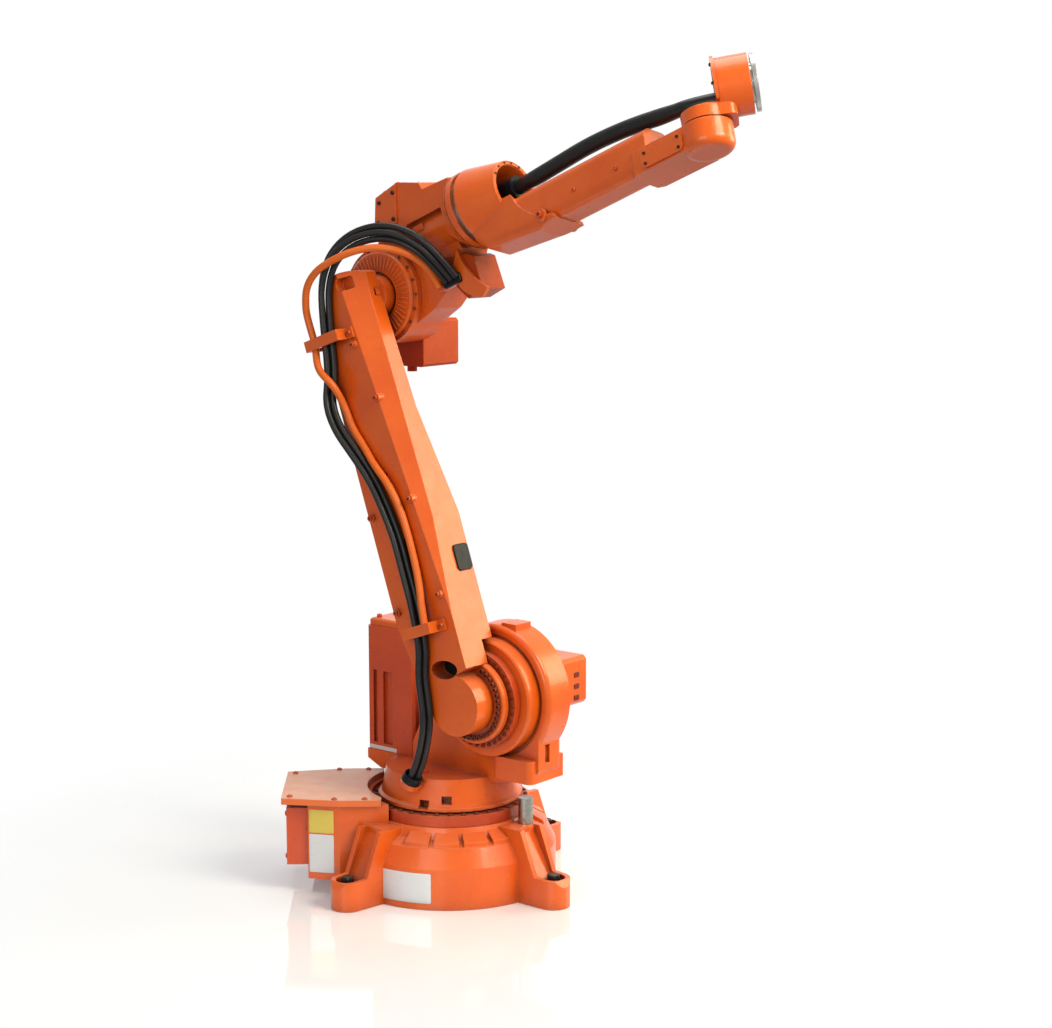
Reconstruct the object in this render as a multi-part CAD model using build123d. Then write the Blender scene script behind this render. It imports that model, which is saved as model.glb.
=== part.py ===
"""Six-axis floor-standing robot arm with its process hose led along the forearm axis.

Millimetres, +Z up. Axis 1 stands on the origin at floor level and the foot row runs along X, with the
connector box at -X. Every link is drawn in its own frame and then set into the photographed pose.
"""

import math
import os

from build123d import *

# Spacing of the six axes.
axis2_height = 445.0
axis2_offset = 150.0
lower_arm_length = 900.0
elbow_offset = 87.0
forearm_length = 902.0
flange_reach = 111.0

# Photographed pose: heading, lean of the lower arm, lift of the forearm, roll and bend of the wrist.
heading = -41.0
lean = -19.4
lift = 22.2
roll = -14.0
bend = 36.0

# Clearances: open gap between turning faces, shaft in bore, shaped seat of one piece in another.
face_gap = 5.0
shaft_gap = 0.05
seat_gap = 0.3

# Base.
bowl_radius = 235.0
bowl_wall = 90.0
bowl_chamfer_top = 130.0
bowl_rim_radius = 215.0
base_height = 165.0
foot_x = 221.0
foot_y = 204.0
foot_radius = 36.0
foot_height = 62.0
foot_hole = 9.0
ring_radius = 174.0
ring_bore = 140.0
ring_height = 25.0
box_rear = -311.0
box_front_width = 122.0
box_rear_width = 104.0
box_floor = 33.0
box_top = 201.0
lid_thickness = 14.0
panel_depth = 47.0
pin_radius = 16.0
pin_circle = 205.0
pin_angle = -37.0

# Turning frame.
neck_radius = 160.0
neck_height = 67.0
shoulder_radius = 155.0
shoulder_ring = 128.0
shoulder_face = -65.0
shoulder_far = 62.0
gear_radius = 106.0
gear_width = 19.0
pivot2_radius = 80.0
apron_front = 276.0
entry_x = 28.0
entry_y = -156.0
entry_lean = 31.0
motor1_width = 141.0
motor1_depth = 146.0
motor1_top = 548.0
motor_cap = 17.0
motor2_width = 100.0
motor2_length = 172.0

# Lower arm.
arm_outer = -160.0
arm_inner = -55.0
arm_front = 62.0
arm_rear = -100.0
boss_radius = 66.0
elbow_radius = 58.0
elbow_front = 34.0
elbow_inner = -85.0
elbow_boss = 46.0
taper_low = 400.0
taper_high = 640.0
bevel_start = 200.0
flange2_radius = 92.0
flange2_width = 16.0
pivot3_radius = 35.0

# Upper arm.
housing_radius = 105.0
housing_near = -48.0
housing_far = 56.0
housing_ring = 96.0
nose_radius = 85.0
nose_front = 290.0
nose_ring = 8.0
pivot4_radius = 60.0
motor3_length = 118.0

# Forearm and wrist.
hub_length = 96.0
mouth_radius = 64.0
cheek_half = 46.0
hose_radius = 15.0
tube_half = 42.0
tube_top = -30.0
tube_bottom = -122.0
wrist_half = 47.0
wrist_radius = 52.0
wrist_bottom = -130.0
tilt_radius = 60.0
tilt_rear = 33.0
lip_width = 6.0
tilt_drop = 71.0
pivot5_radius = 35.0
pivot6_radius = 40.0
flange_radius = 57.0
flange_width = 8.0
flange_bore = 24.0
flange_pcd = 84.0

cable_radius = 7.0
orange_radius = 8.0

ground = Location((0, 0, 0))
turned = Rot(0, 0, heading)
shoulder = turned * Pos(axis2_offset, 0, axis2_height) * Rot(0, lean, 0)
elbow = shoulder * Pos(0, 0, lower_arm_length) * Rot(0, -lift - lean, 0)
forearm = elbow * Pos(0, 0, elbow_offset) * Rot(roll, 0, 0)
wrist = forearm * Pos(forearm_length, 0, 0) * Rot(0, 0, bend)

LOW = (Align.CENTER, Align.CENTER, Align.MIN)


def along_x(radius, start, end, y=0.0, z=0.0):
    return Pos(start, y, z) * Rot(0, 90, 0) * Cylinder(radius, end - start, align=LOW)


def along_y(radius, start, end, x=0.0, z=0.0):
    return Pos(x, start, z) * Rot(-90, 0, 0) * Cylinder(radius, end - start, align=LOW)


def along_z(radius, start, end, x=0.0, y=0.0):
    return Pos(x, y, start) * Cylinder(radius, end - start, align=LOW)


def side_slab(points, start, end):
    """Side view outline in x and z, carried across from y = start to y = end."""
    outline = Pos(0, start, 0) * (Plane.XZ * Polygon(*points, align=None))
    return extrude(outline, amount=end - start, dir=(0, 1, 0))


def plan_slab(points, start, end):
    """Plan outline in x and y, carried up from z = start to z = end."""
    outline = Pos(0, 0, start) * Polygon(*points, align=None)
    return extrude(outline, amount=end - start, dir=(0, 0, 1))


def block(x, y, z):
    """Box between pairs of coordinates."""
    low = (Align.MIN, Align.MIN, Align.MIN)
    return Pos(x[0], y[0], z[0]) * Box(x[1] - x[0], y[1] - y[0], z[1] - z[0], align=low)


def turned_profile(points):
    """Profile in radius and height, turned about the z axis."""
    return revolve(Plane.XZ * Polygon(*points, align=None), Axis.Z)


def one(shape):
    """The single solid of a fused shape."""
    solids = shape.solids()
    return solids[0] if len(solids) == 1 else Compound(children=list(solids))


os.makedirs("parts", exist_ok=True)
built = {}


def keep(name, frame, shape):
    placed = frame * one(shape)
    built[name] = placed
    export_step(placed, "parts/" + name + ".step")


# Base: bowl, four sloping feet and the neck of the connector box.
bowl = turned_profile(
    [
        (0, 0),
        (bowl_radius, 0),
        (bowl_radius, bowl_wall),
        (bowl_rim_radius, bowl_chamfer_top),
        (ring_radius + 14, bowl_chamfer_top + 12),
        (ring_radius + 4, base_height),
        (0, base_height),
    ]
)
pad_profile = Plane.XZ * Polygon(
    (ring_radius - 6, bowl_chamfer_top),
    (bowl_rim_radius - 3, bowl_chamfer_top),
    (bowl_rim_radius - 5, bowl_chamfer_top + 10),
    (ring_radius + 2, base_height - 6),
    (ring_radius - 6, base_height - 6),
    align=None,
)
rim_pad = revolve(pad_profile, Axis.Z, 15)
base = bowl
for angle in (-118, -100, -82, -64, 52, 70, 88, 106, -12, 6, 24):
    base += Rot(0, 0, angle) * rim_pad

foot_reach = math.hypot(foot_x, foot_y)
foot_angle = math.degrees(math.atan2(foot_y, foot_x))
foot_tip = foot_reach + foot_radius
web_root = bowl_rim_radius - 60


def tapered_plan(tip, root):
    """Plan of a foot: the hull of a round tip and a round root."""
    ends = (Pos(foot_reach, 0) * Circle(tip)).edges() + (Pos(web_root, 0) * Circle(root)).edges()
    return make_hull(ends)


web_plan = tapered_plan(foot_radius, foot_radius + 4)
trough_plan = tapered_plan(foot_radius - 11, foot_radius - 10)
web_side = side_slab(
    [
        (web_root, 0),
        (foot_tip, 0),
        (foot_tip, foot_height - 16),
        (foot_tip - 10, foot_height),
        (foot_reach - 24, foot_height + 2),
        (bowl_rim_radius + 24, base_height - 5),
        (web_root, base_height - 5),
    ],
    -foot_radius - 10,
    foot_radius + 10,
)
trough_side = side_slab(
    [
        (foot_reach - 26, foot_height - 12),
        (foot_tip + 20, foot_height - 12),
        (foot_tip + 20, base_height),
        (bowl_rim_radius + 8, base_height),
        (bowl_rim_radius + 8, base_height - 18),
    ],
    -foot_radius,
    foot_radius,
)
foot = extrude(web_plan, base_height) & web_side
trough = extrude(trough_plan, base_height + 10) & trough_side
for angle in (foot_angle, 180 - foot_angle, -foot_angle, foot_angle - 180):
    base += Rot(0, 0, angle) * foot
box_neck = plan_slab(
    [
        (box_rear, -box_rear_width),
        (box_rear + 70, -box_front_width),
        (-ring_radius + 40, -box_front_width),
        (-ring_radius + 40, box_front_width),
        (box_rear + 70, box_front_width),
        (box_rear, box_rear_width),
    ],
    box_floor,
    box_top,
)
base += box_neck - along_z(ring_radius + seat_gap, base_height, box_top + 1)
for angle in (foot_angle, 180 - foot_angle, -foot_angle, foot_angle - 180):
    base -= Rot(0, 0, angle) * trough
    base -= Rot(0, 0, angle) * along_z(foot_hole, -1, base_height, foot_reach)
pin_x = pin_circle * math.cos(math.radians(pin_angle))
pin_y = pin_circle * math.sin(math.radians(pin_angle))
base += along_z(pin_radius + 6, bowl_wall, base_height - 8, pin_x, pin_y)
base -= along_z(pin_radius + seat_gap, base_height - 8, base_height + 60, pin_x, pin_y)
base -= along_z(ring_radius + seat_gap, base_height, base_height + 60)
keep("base_casting", ground, base)

lid_top = box_top + lid_thickness
lid = plan_slab(
    [
        (box_rear - panel_depth - 10, -box_rear_width - 4),
        (box_rear + 70, -box_front_width - 9),
        (-150, -box_front_width - 9),
        (-150, box_front_width + 9),
        (box_rear + 70, box_front_width + 9),
        (box_rear - panel_depth - 10, box_rear_width + 4),
    ],
    box_top,
    lid_top,
)
lid -= along_z(ring_radius + 10, 0, lid_top + 1)
keep("box_lid", ground, lid)
panel_half = box_rear_width - 8
panel = block((box_rear - panel_depth, box_rear), (-panel_half, panel_half), (62, box_top - 11))
keep("connector_panel", ground, panel)

ring_top = base_height + ring_height
ring = along_z(ring_radius, base_height, ring_top) - along_z(ring_bore, base_height - 1, ring_top + 1)
keep("bearing_ring", ground, ring)
pin_top = lid_top + 2
keep("stop_pin", ground, along_z(pin_radius, base_height - 8, pin_top, pin_x, pin_y))

# Turning frame, drawn with the arm pointing along x.
neck_floor = ring_top + face_gap
shelf = neck_floor + neck_height
neck = turned_profile(
    [
        (0, base_height + face_gap),
        (ring_bore - shaft_gap, base_height + face_gap),
        (ring_bore - shaft_gap, neck_floor),
        (neck_radius, neck_floor),
        (neck_radius, neck_floor + 8),
        (neck_radius - 8, neck_floor + 12),
        (neck_radius - 18, shelf),
        (0, shelf),
    ]
)
cheek_near = -30.0
cheek = side_slab(
    [
        (apron_front, axis2_height + 5),
        (apron_front, axis2_height - 150),
        (apron_front - 22, shelf + 8),
        (axis2_offset, shelf - 12),
        (-84, shelf - 12),
        (-84, shelf + 40),
        (axis2_offset - shoulder_radius * 0.8, axis2_height + shoulder_radius * 0.6),
    ],
    cheek_near,
    shoulder_far,
)
front_edges = cheek.edges().filter_by(Axis.Z).group_by(Axis.X)[-1]
cheek = fillet(front_edges.sort_by(Axis.Y)[-1], 30)
frame = neck + cheek
drum = along_y(shoulder_radius, cheek_near, shoulder_far, axis2_offset, axis2_height)
drum = fillet(drum.edges().group_by(Axis.Y)[0], 12)
frame += chamfer(drum.edges().group_by(Axis.Y)[-1], 20)
collar = along_y(shoulder_ring, shoulder_face, cheek_near, axis2_offset, axis2_height)
frame += chamfer(collar.edges().group_by(Axis.Y)[0], 4)
groove = along_y(shoulder_ring + 8, cheek_near - 1, cheek_near + 8, axis2_offset, axis2_height)
groove -= along_y(shoulder_ring, cheek_near - 2, cheek_near + 9, axis2_offset, axis2_height)
frame -= groove
shelf_floor = lid_top + face_gap + 2
motor1_front = -90.0
motor1_rear = motor1_front - motor1_width
frame += side_slab(
    [
        (motor1_rear, shelf),
        (motor1_rear, shelf - 22),
        (motor1_rear + 40, shelf_floor),
        (motor1_front + 30, shelf_floor),
        (motor1_front + 30, shelf),
    ],
    -20,
    motor1_depth - 20,
)
ledge_face = arm_inner + face_gap
ledge = block((axis2_offset + 12, apron_front - 6), (ledge_face, shoulder_far), (shelf + 6, shelf + 56))
frame += fillet(ledge.edges().filter_by(Axis.Z).group_by(Axis.Y)[0], 14)
frame -= along_y(pivot2_radius, shoulder_face - 1, shoulder_face + 32, axis2_offset, axis2_height)
lug_top = axis2_height + shoulder_radius + 5
frame += block((axis2_offset + 16, axis2_offset + 56), (-20, 30), (lug_top - 30, lug_top))
for angle, level in ((-52, shelf - 44), (-71, shelf - 54)):
    frame -= Rot(0, 0, angle) * block((neck_radius - 34, neck_radius + 1), (-11, 11), (level - 9, level + 9))
slot_level = axis2_height - 115
frame -= block((apron_front - 8, apron_front + 1), (-8, 8), (slot_level - 20, slot_level + 20))
keep("frame_casting", turned, frame)
gear_face = shoulder_face - gear_width
gear2 = along_y(gear_radius, gear_face, shoulder_face, axis2_offset, axis2_height)
gear2 -= along_y(pivot2_radius, gear_face - 1, shoulder_face + 1, axis2_offset, axis2_height)
keep("shoulder_gear_ring", turned, gear2)

motor1 = block((motor1_rear, motor1_front), (-20, motor1_depth - 20), (shelf, motor1_top))
motor1 = chamfer(motor1.edges().filter_by(Axis.Z), 6)
groove_top = shelf + 0.65 * (motor1_top - shelf)
for start, width in ((19, 12), (49, 28)):
    side_groove = (motor1_rear + start, motor1_rear + start + width)
    motor1 -= block(side_groove, (-21, -12), (shelf + 18, groove_top))
keep("axis1_motor", turned, motor1)
cap_top = motor1_top + motor_cap
cap = block((motor1_rear + 6, motor1_front - 6), (-14, motor1_depth - 26), (motor1_top, cap_top))
keep("axis1_motor_cap", turned, chamfer(cap.edges().group_by(Axis.Z)[-1], 4))
half2 = motor2_width / 2
motor2 = along_y(72, shoulder_far, shoulder_far + 20, axis2_offset, axis2_height)
body2 = block(
    (axis2_offset - half2, axis2_offset + half2),
    (shoulder_far + 10, shoulder_far + motor2_length),
    (axis2_height - half2 - 8, axis2_height + half2),
)
motor2 += chamfer(body2.edges().filter_by(Axis.Y), 8)
keep("axis2_motor", turned, motor2)
entry = Pos(entry_x, entry_y, shelf) * Rot(0, entry_lean, 0)
plate = block((-20, 20), (0, 70), (-15, -7)) + along_z(23, -15, 0)
keep("cable_plate", turned, entry * plate - frame)

# Lower arm, drawn upright with axis 2 on its origin.
beam = side_slab(
    [
        (arm_front, 70),
        (arm_front, taper_low),
        (elbow_front, lower_arm_length),
        (-elbow_radius, lower_arm_length),
        (arm_rear, lower_arm_length - 100),
        (arm_rear, 190),
        (-boss_radius, 0),
        (0, 0),
        (28, 62),
    ],
    arm_outer,
    arm_inner,
)
arm_top = lower_arm_length + elbow_radius
beam += along_y(elbow_radius, arm_outer, arm_inner, 0, lower_arm_length)
front_cut = [(arm_front, taper_low), (elbow_front, lower_arm_length), (elbow_front, arm_top)]
beam -= side_slab(front_cut + [(arm_front, arm_top)], arm_outer, arm_inner)
inner_cut = Plane.YZ * Polygon(
    (arm_inner, taper_low),
    (elbow_inner, taper_high),
    (elbow_inner, arm_top + 1),
    (arm_inner + 1, arm_top + 1),
    (arm_inner + 1, taper_low),
    align=None,
)
beam -= extrude(Pos(arm_rear - 1, 0, 0) * inner_cut, amount=arm_front - arm_rear + 2, dir=(1, 0, 0))
beam += along_y(elbow_boss, elbow_inner, arm_inner, 0, lower_arm_length)
flange2_near = gear_face - face_gap - flange2_width
flange2_face = gear_face - face_gap
beam += along_y(boss_radius, arm_outer, flange2_near)
beam -= along_y(flange2_radius + seat_gap, flange2_near, 0)
beam -= along_y(shoulder_ring + 8, flange2_face, 0)
bevel = Plane(origin=(arm_front - 2, arm_outer, bevel_start), z_dir=(0.722, -0.688, 0.067))
beam -= bevel * Box(2 * arm_top, 2 * arm_top, boss_radius, align=LOW)
outer_plane = Plane.XZ.offset(-arm_outer + 1)
beam -= extrude(outer_plane * (Pos(-14, 296) * SlotOverall(150, 26, rotation=90)), amount=-70)
beam -= extrude(outer_plane * (Pos(0, 79) * Ellipse(37, 20, rotation=-11)), amount=-45)
beam -= extrude(outer_plane * (Pos(0, lower_arm_length + 32) * SlotOverall(40, 28)), amount=-24)
beam -= along_y(5, arm_outer - 1, arm_outer + 30, -19, 512)
grip_low = 172.0
grip_high = lower_arm_length - 73
for x, z in ((16, 675), (35, 447), (45, 236), (-88, 434), (-86, 223), (-10, grip_high - 27)):
    beam += along_y(9, arm_outer - 7, arm_outer + 20, x, z)
beam -= along_y(pivot3_radius, arm_inner - 50, arm_inner + 1, 0, lower_arm_length)
keep("lower_arm", shoulder, beam)
flange2 = along_y(flange2_radius, flange2_near, flange2_face)
flange2 = chamfer(flange2.edges().group_by(Axis.Y)[0], 3)
flange2 += along_y(pivot2_radius - shaft_gap, flange2_face, shoulder_face + 26)
keep("shoulder_flange", shoulder, flange2)


def clamp(left, right, grip, left_foot):
    """Strap standing clear of the arm on two legs, over the cables."""
    low, high = grip - 12, grip + 12
    strap = block((left, right), (arm_outer - 36, arm_outer - 30), (low, high))
    strap += block((left, left + 6), (arm_outer - 36, left_foot), (low, high))
    strap += block((right - 6, right), (arm_outer - 36, arm_outer), (low, high))
    return strap + block((right - 6, right + 18), (arm_outer - 6, arm_outer), (low, high))


keep("lower_clamp", shoulder, clamp(-60, 22, grip_low, arm_outer))
keep("upper_clamp", shoulder, clamp(-120, -20, grip_high, arm_outer + 20))

# Upper arm, drawn level with axis 3 on its origin.
axis4 = elbow_offset
flat_side = housing_near + 2
upper = side_slab(
    [
        (-40, 60),
        (40, axis4 + 45),
        (127, axis4 + 28),
        (nose_front - 60, axis4 - 10),
        (nose_front - 50, axis4 - 70),
        (200, -34),
        (120, -74),
        (40, -90),
    ],
    -30,
    housing_far,
)
upper += along_y(housing_radius, housing_near, housing_far)
rim3 = along_y(housing_ring, housing_near - 10, housing_near)
rim3 = chamfer(rim3.edges().group_by(Axis.Y)[0], 4)
upper += rim3 - along_y(elbow_boss + face_gap + 1, housing_near - 11, housing_near)
gear4 = side_slab(
    [
        (30, axis4 + 30),
        (64, axis4 + 114),
        (133, axis4 + 122),
        (150, axis4 + 116),
        (192, axis4 + 98),
        (196, axis4 + 82),
        (nose_front - 18, axis4 + 78),
        (nose_front - 18, axis4 + 28),
        (127, axis4 + 28),
        (100, axis4 + 10),
    ],
    flat_side,
    housing_far + 6,
)
upper += gear4
upper += along_x(56, 110, nose_front - 15, 10, axis4 - 12)
upper += Pos(nose_front - 60, 0, axis4) * Rot(0, 90, 0) * Cone(56, nose_radius, 42, align=LOW)
upper -= block((nose_front - 62, nose_front - 30), (-nose_radius - 5, flat_side), (0, 2 * axis4))
rim4 = along_x(nose_radius, nose_front - 18, nose_front, 0, axis4)
upper += fillet(rim4.edges().group_by(Axis.X)[0], 6)
upper += block((140, 168), (flat_side, -28), (axis4 + 2, axis4 + 16))
upper += along_y(pivot3_radius - shaft_gap, arm_inner - 45, housing_near)
upper -= along_x(pivot4_radius, nose_front - 40, nose_front + 1, 0, axis4)
keep("upper_arm", elbow, upper)
cover = side_slab(
    [(38, axis4 + 50), (66, axis4 + 111), (100, axis4 + 115), (131, axis4 + 118), (104, axis4 + 42)],
    flat_side - 4,
    flat_side,
)
keep("rear_cover", elbow, cover)
box_half = 36.0
box_front = nose_front - 22
terminal = side_slab(
    [
        (box_front - 76, 16),
        (box_front - 12, axis4 - nose_radius - 3),
        (box_front, -10),
        (box_front, -84),
        (box_front - 46, -88),
        (box_front - 76, -40),
    ],
    -box_half,
    box_half,
)
terminal -= along_x(nose_radius + seat_gap, nose_front - 80, nose_front + 20, 0, axis4)
terminal -= upper
keep("terminal_box", elbow, terminal)
horn = make_face(
    Polyline((238, 16), (214, -14), (216, -58))
    + Spline((216, -58), (236, -84), (268, -100))
    + Polyline((268, -100), (288, -86))
    + Spline((288, -86), (256, -46), (238, 16))
)
bracket = extrude(Pos(0, flat_side, 0) * (Plane.XZ * horn), amount=-box_half - flat_side, dir=(0, 1, 0))
bracket += block((158, 232), (flat_side, -box_half), (-52, -28))
keep("cable_bracket", elbow, bracket)
bearing4 = along_x(nose_radius - 8, nose_front, nose_front + nose_ring, 0, axis4)
bearing4 -= along_x(pivot4_radius, nose_front - 1, nose_front + nose_ring + 1, 0, axis4)
keep("axis4_bearing", elbow, bearing4)
motor3 = block((-84, 28), (housing_far, housing_far + motor3_length), (-162, -58))
motor3 = chamfer(motor3.edges().filter_by(Axis.Y), 6)
motor3 += along_z(11, -174, -158, -20, housing_far + 16)
keep("axis3_motor", elbow, Rot(0, lift, 0) * motor3)

# Forearm, drawn on axis 4: round hub, cheeks that sweep down to the tube, and the wrist end.
hub_rear = nose_front + nose_ring + face_gap
hub_front = hub_rear + hub_length
hub = Pos(hub_rear, 0, 0) * Rot(0, 90, 0) * Cone(nose_radius, mouth_radius, hub_length, align=LOW)
rim = Spline(
    (hub_front, 26),
    (hub_front + 14, 0),
    (hub_front + 28, -42),
    (hub_front + 52, -77),
    (hub_front + 86, -102),
    (hub_front + 128, tube_bottom + 8),
)
keel = Polyline(
    rim @ 1,
    (hub_front + 132, tube_bottom - 2),
    (hub_front + 76, tube_bottom - 8),
    (hub_rear + 30, tube_bottom + 6),
    (hub_rear + 6, tube_bottom + 26),
    (hub_rear + 2, -40),
    (hub_rear + 2, 26),
    rim @ 0,
)
side_view = make_face(rim + keel)
cheeks = extrude(Pos(0, -cheek_half, 0) * (Plane.XZ * side_view), amount=2 * cheek_half, dir=(0, 1, 0))
side_edges = [e for e in cheeks.edges() if abs(e.center().Y) > cheek_half - 1]
low_edges = [e for e in side_edges if e.center().Z < tube_bottom + 20 and e.center().X < hub_front + 90]
cheeks = fillet(low_edges, 18)
hub += cheeks


def tube_section(x, half, low, high):
    plane = Pos(x, 0, (low + high) / 2) * Rot(0, 90, 0)
    return plane * RectangleRounded(high - low, 2 * half, 22)


tube_end = forearm_length - 122
tube = loft(
    [
        tube_section(hub_front - 4, tube_half, tube_bottom, tube_top - 4),
        tube_section(tube_end, tube_half - 2, tube_bottom + 2, tube_top),
    ]
)
wrist_top = -tilt_drop - face_gap
paw = plan_slab(
    [
        (tube_end - 44, -tube_half + 4),
        (tube_end - 30, -wrist_half),
        (forearm_length - 20, -wrist_half),
        (forearm_length, -wrist_half + 4),
        (forearm_length, wrist_half - 4),
        (forearm_length - 20, wrist_half),
        (tube_end - 30, wrist_half),
        (tube_end - 44, tube_half - 4),
    ],
    wrist_bottom + 4,
    wrist_top,
)
knuckle = along_z(wrist_radius, wrist_bottom, wrist_top, forearm_length)
knuckle = fillet(knuckle.edges().group_by(Axis.Z)[0], 18)
arm4 = hub + tube + paw + knuckle
for side in (-1, 1):
    middle = side * (cheek_half + 3)
    arm4 += along_y(14, middle - 3, middle + 3, hub_front + 100, tube_bottom + 12)
arm4 += along_x(pivot4_radius - shaft_gap, nose_front - 34, hub_rear)
arm4 -= along_x(40, nose_front - 30, hub_front + 24)
arm4 -= Pos(hub_front - 60, 0, 0) * Rot(0, 90, 0) * Cone(40, mouth_radius - 8, 62, align=LOW)
arm4 -= along_x(mouth_radius - 8, hub_front - 2, hub_front + 40)
arm4 -= along_x(hose_radius + 10, hub_front - 1, tube_end + 20)
arm4 -= along_z(pivot5_radius, wrist_top - 47, wrist_top + 1, forearm_length)
keep("forearm_casting", forearm, arm4)
gland = along_x(40 - seat_gap, hub_front - 90, hub_front - 60) + along_x(26, hub_front - 60, hub_front + 12)
gland -= along_x(hose_radius + seat_gap, hub_front - 91, hub_front + 13)
keep("hose_gland", forearm, gland)
cover_plan = Pos(forearm_length - 78, (wrist_top + wrist_bottom) / 2) * RectangleRounded(104, 38, 12)
plates = []
for side in (-1, 1):
    start = min(side * wrist_half, side * (wrist_half + 4))
    plates.append(extrude(Pos(0, start, 0) * (Plane.XZ * cover_plan), amount=4, dir=(0, 1, 0)).solids()[0])
keep("wrist_covers", forearm, Compound(children=plates))

# Wrist: tilt house on axis 5, tool flange on axis 6.
tilt_front = flange_reach - flange_width - face_gap
tilt = along_x(tilt_radius, tilt_rear, tilt_front)
foot5 = plan_slab([(0, -40), (tilt_front - 34, -36), (tilt_front - 34, 36), (0, 40)], -tilt_drop, -42)
tilt += fillet(foot5.edges().filter_by(Axis.Z).group_by(Axis.X)[-1], 16)
tilt += along_z(wrist_radius - 5, -tilt_drop, -46)
tilt += along_z(pivot5_radius - shaft_gap, -tilt_drop - 46, -tilt_drop)
tilt -= along_x(pivot6_radius + 3, -80, tilt_front - 36)
tilt -= along_x(pivot6_radius, tilt_front - 37, tilt_front + 1)
keep("tilt_house", wrist, tilt)
lip = along_x(tilt_radius + 5, tilt_rear - lip_width, tilt_rear)
lip -= along_x(pivot6_radius + 3, tilt_rear - lip_width - 1, tilt_rear + 1)
lip -= block((tilt_rear - lip_width - 1, tilt_rear + 1), (-100, 100), (-100, -42 + seat_gap))
keep("tilt_rear_plate", wrist, lip)
flange = along_x(flange_radius, tilt_front + face_gap, flange_reach)
flange += along_x(pivot6_radius - shaft_gap, tilt_front - 30, tilt_front + face_gap)
flange -= along_x(flange_bore, tilt_front - 31, flange_reach + 1)
for angle in range(0, 360, 60):
    flange -= Rot(angle, 0, 0) * along_x(4.2, flange_reach - 12, flange_reach + 1, 0, flange_pcd / 2)
keep("tool_flange", wrist, flange)


def to_forearm(x, y, z):
    """Point of the wrist frame in the forearm frame."""
    turn = math.radians(bend)
    ahead = x * math.cos(turn) - y * math.sin(turn)
    return (forearm_length + ahead, x * math.sin(turn) + y * math.cos(turn), z)


def smooth(points):
    """Straight runs joined by tangent arcs, each arc as wide as its shorter run allows."""
    runs = [Vector(*b) - Vector(*a) for a, b in zip(points, points[1:])]
    radii = []
    for before, after in zip(runs, runs[1:]):
        turn = math.radians(before.get_angle(after))
        radii.append(round(0.45 * min(before.length, after.length) / math.tan(turn / 2), 1))
    print("arc radii", radii)
    return FilletPolyline(*points, radius=radii)


def cord(points, radius):
    path = smooth(points)
    start = Plane(path @ 0, z_dir=path % 0)
    made = sweep(start * Circle(radius), path=path)
    ideal = math.pi * radius**2 * path.length
    print("cord", round(path.length), "mm, volume ratio", round(made.volume / ideal, 4))
    return made


hose_points = [
    (hub_front - 86, 0, 0),
    (hub_front + 36, 0, 0),
    (hub_front + 120, 0, 8),
    (hub_front + 215, 0, 16),
    (hub_front + 320, 0, 10),
    (hub_front + 415, 2, -6),
    to_forearm(-20, 2, -22),
    to_forearm(48, 0, -22),
]
keep("process_hose", forearm, cord(hose_points, hose_radius))


def in_frame(frame, home, points):
    """Points of one link's frame, expressed in another's."""
    moved = home.inverse() * frame
    return [tuple((moved * Pos(*p)).position) for p in points]


def strand(points, side, start, end):
    """One of three strands a bundle apart, the middle one raised by an angle that goes from start to end."""
    moved = []
    for i, (x, y, z) in enumerate(points):
        rise = math.radians(start + (end - start) * i / (len(points) - 1))
        shift = side * bundle * math.cos(rise)
        out = (1 - abs(side)) * bundle * math.sin(rise)
        before = points[max(i - 1, 0)]
        after = points[min(i + 1, len(points) - 1)]
        run = (after[0] - before[0], after[2] - before[2])
        size = math.hypot(*run)
        moved.append((x + shift * run[1] / size, y - out, z - shift * run[0] / size))
    return moved


bundle = 2 * cable_radius + 1.2
stack_angle = 57.0
lift_off = arm_outer - cable_radius - 2
span = grip_high - grip_low


def up_arm(x, share, out=0.0):
    """Point over the arm's outer face, at a share of the way from the lower clamp to the upper one."""
    return (x, lift_off - out, grip_low + share * span)


low_x = -30.0
shoulder_route = [tuple((entry * Pos(0, 0, rise)).position) for rise in (seat_gap, 38)]
shoulder_route += [(entry_x + 46, entry_y - 10, shelf + 94), (entry_x + 57, lift_off - 1, shelf + 146)]
shoulder_route += [(entry_x + 49, lift_off, shelf + 192)]
shoulder_route += in_frame(shoulder, turned, [(-57, lift_off, 84), (low_x - 4.6, lift_off, 132)])
shoulder_route += in_frame(shoulder, turned, [(low_x, lift_off, grip_low - seat_gap)])
arm_route = [(low_x, lift_off, grip_low + seat_gap), up_arm(-24, 0.08), up_arm(-25, 0.195), up_arm(-24, 0.307)]
arm_route += [up_arm(-35, 0.417), up_arm(-48, 0.516), up_arm(-68, 0.615), up_arm(-88, 0.707)]
arm_route += [up_arm(-96, 0.798), up_arm(-86, 0.893), (-72, lift_off, grip_high - seat_gap)]
above_grip = grip_high + 59
from_clamp = [(-72, lift_off, grip_high + seat_gap), (-60.2, lift_off, above_grip)]
elbow_route = in_frame(shoulder, elbow, from_clamp)
elbow_route += [(-40, lift_off, 46), (2, lift_off + 2, 92), (64, -154, 113), (132, -130, 103)]
elbow_route += [(182, -110, 64), (204, -84, 12), (206, -52.4, -38)]
for name, home, route, end in (
    ("shoulder_cables", turned, shoulder_route, stack_angle),
    ("arm_cables", shoulder, arm_route, stack_angle),
    ("elbow_cables", elbow, elbow_route, 0),
):
    strands = [cord(strand(route, side, stack_angle, end), cable_radius) for side in (-1, 0, 1)]
    placed = Compound(children=[home * made.solids()[0] for made in strands])
    built[name] = placed
    export_step(placed, "parts/" + name + ".step")

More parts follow.
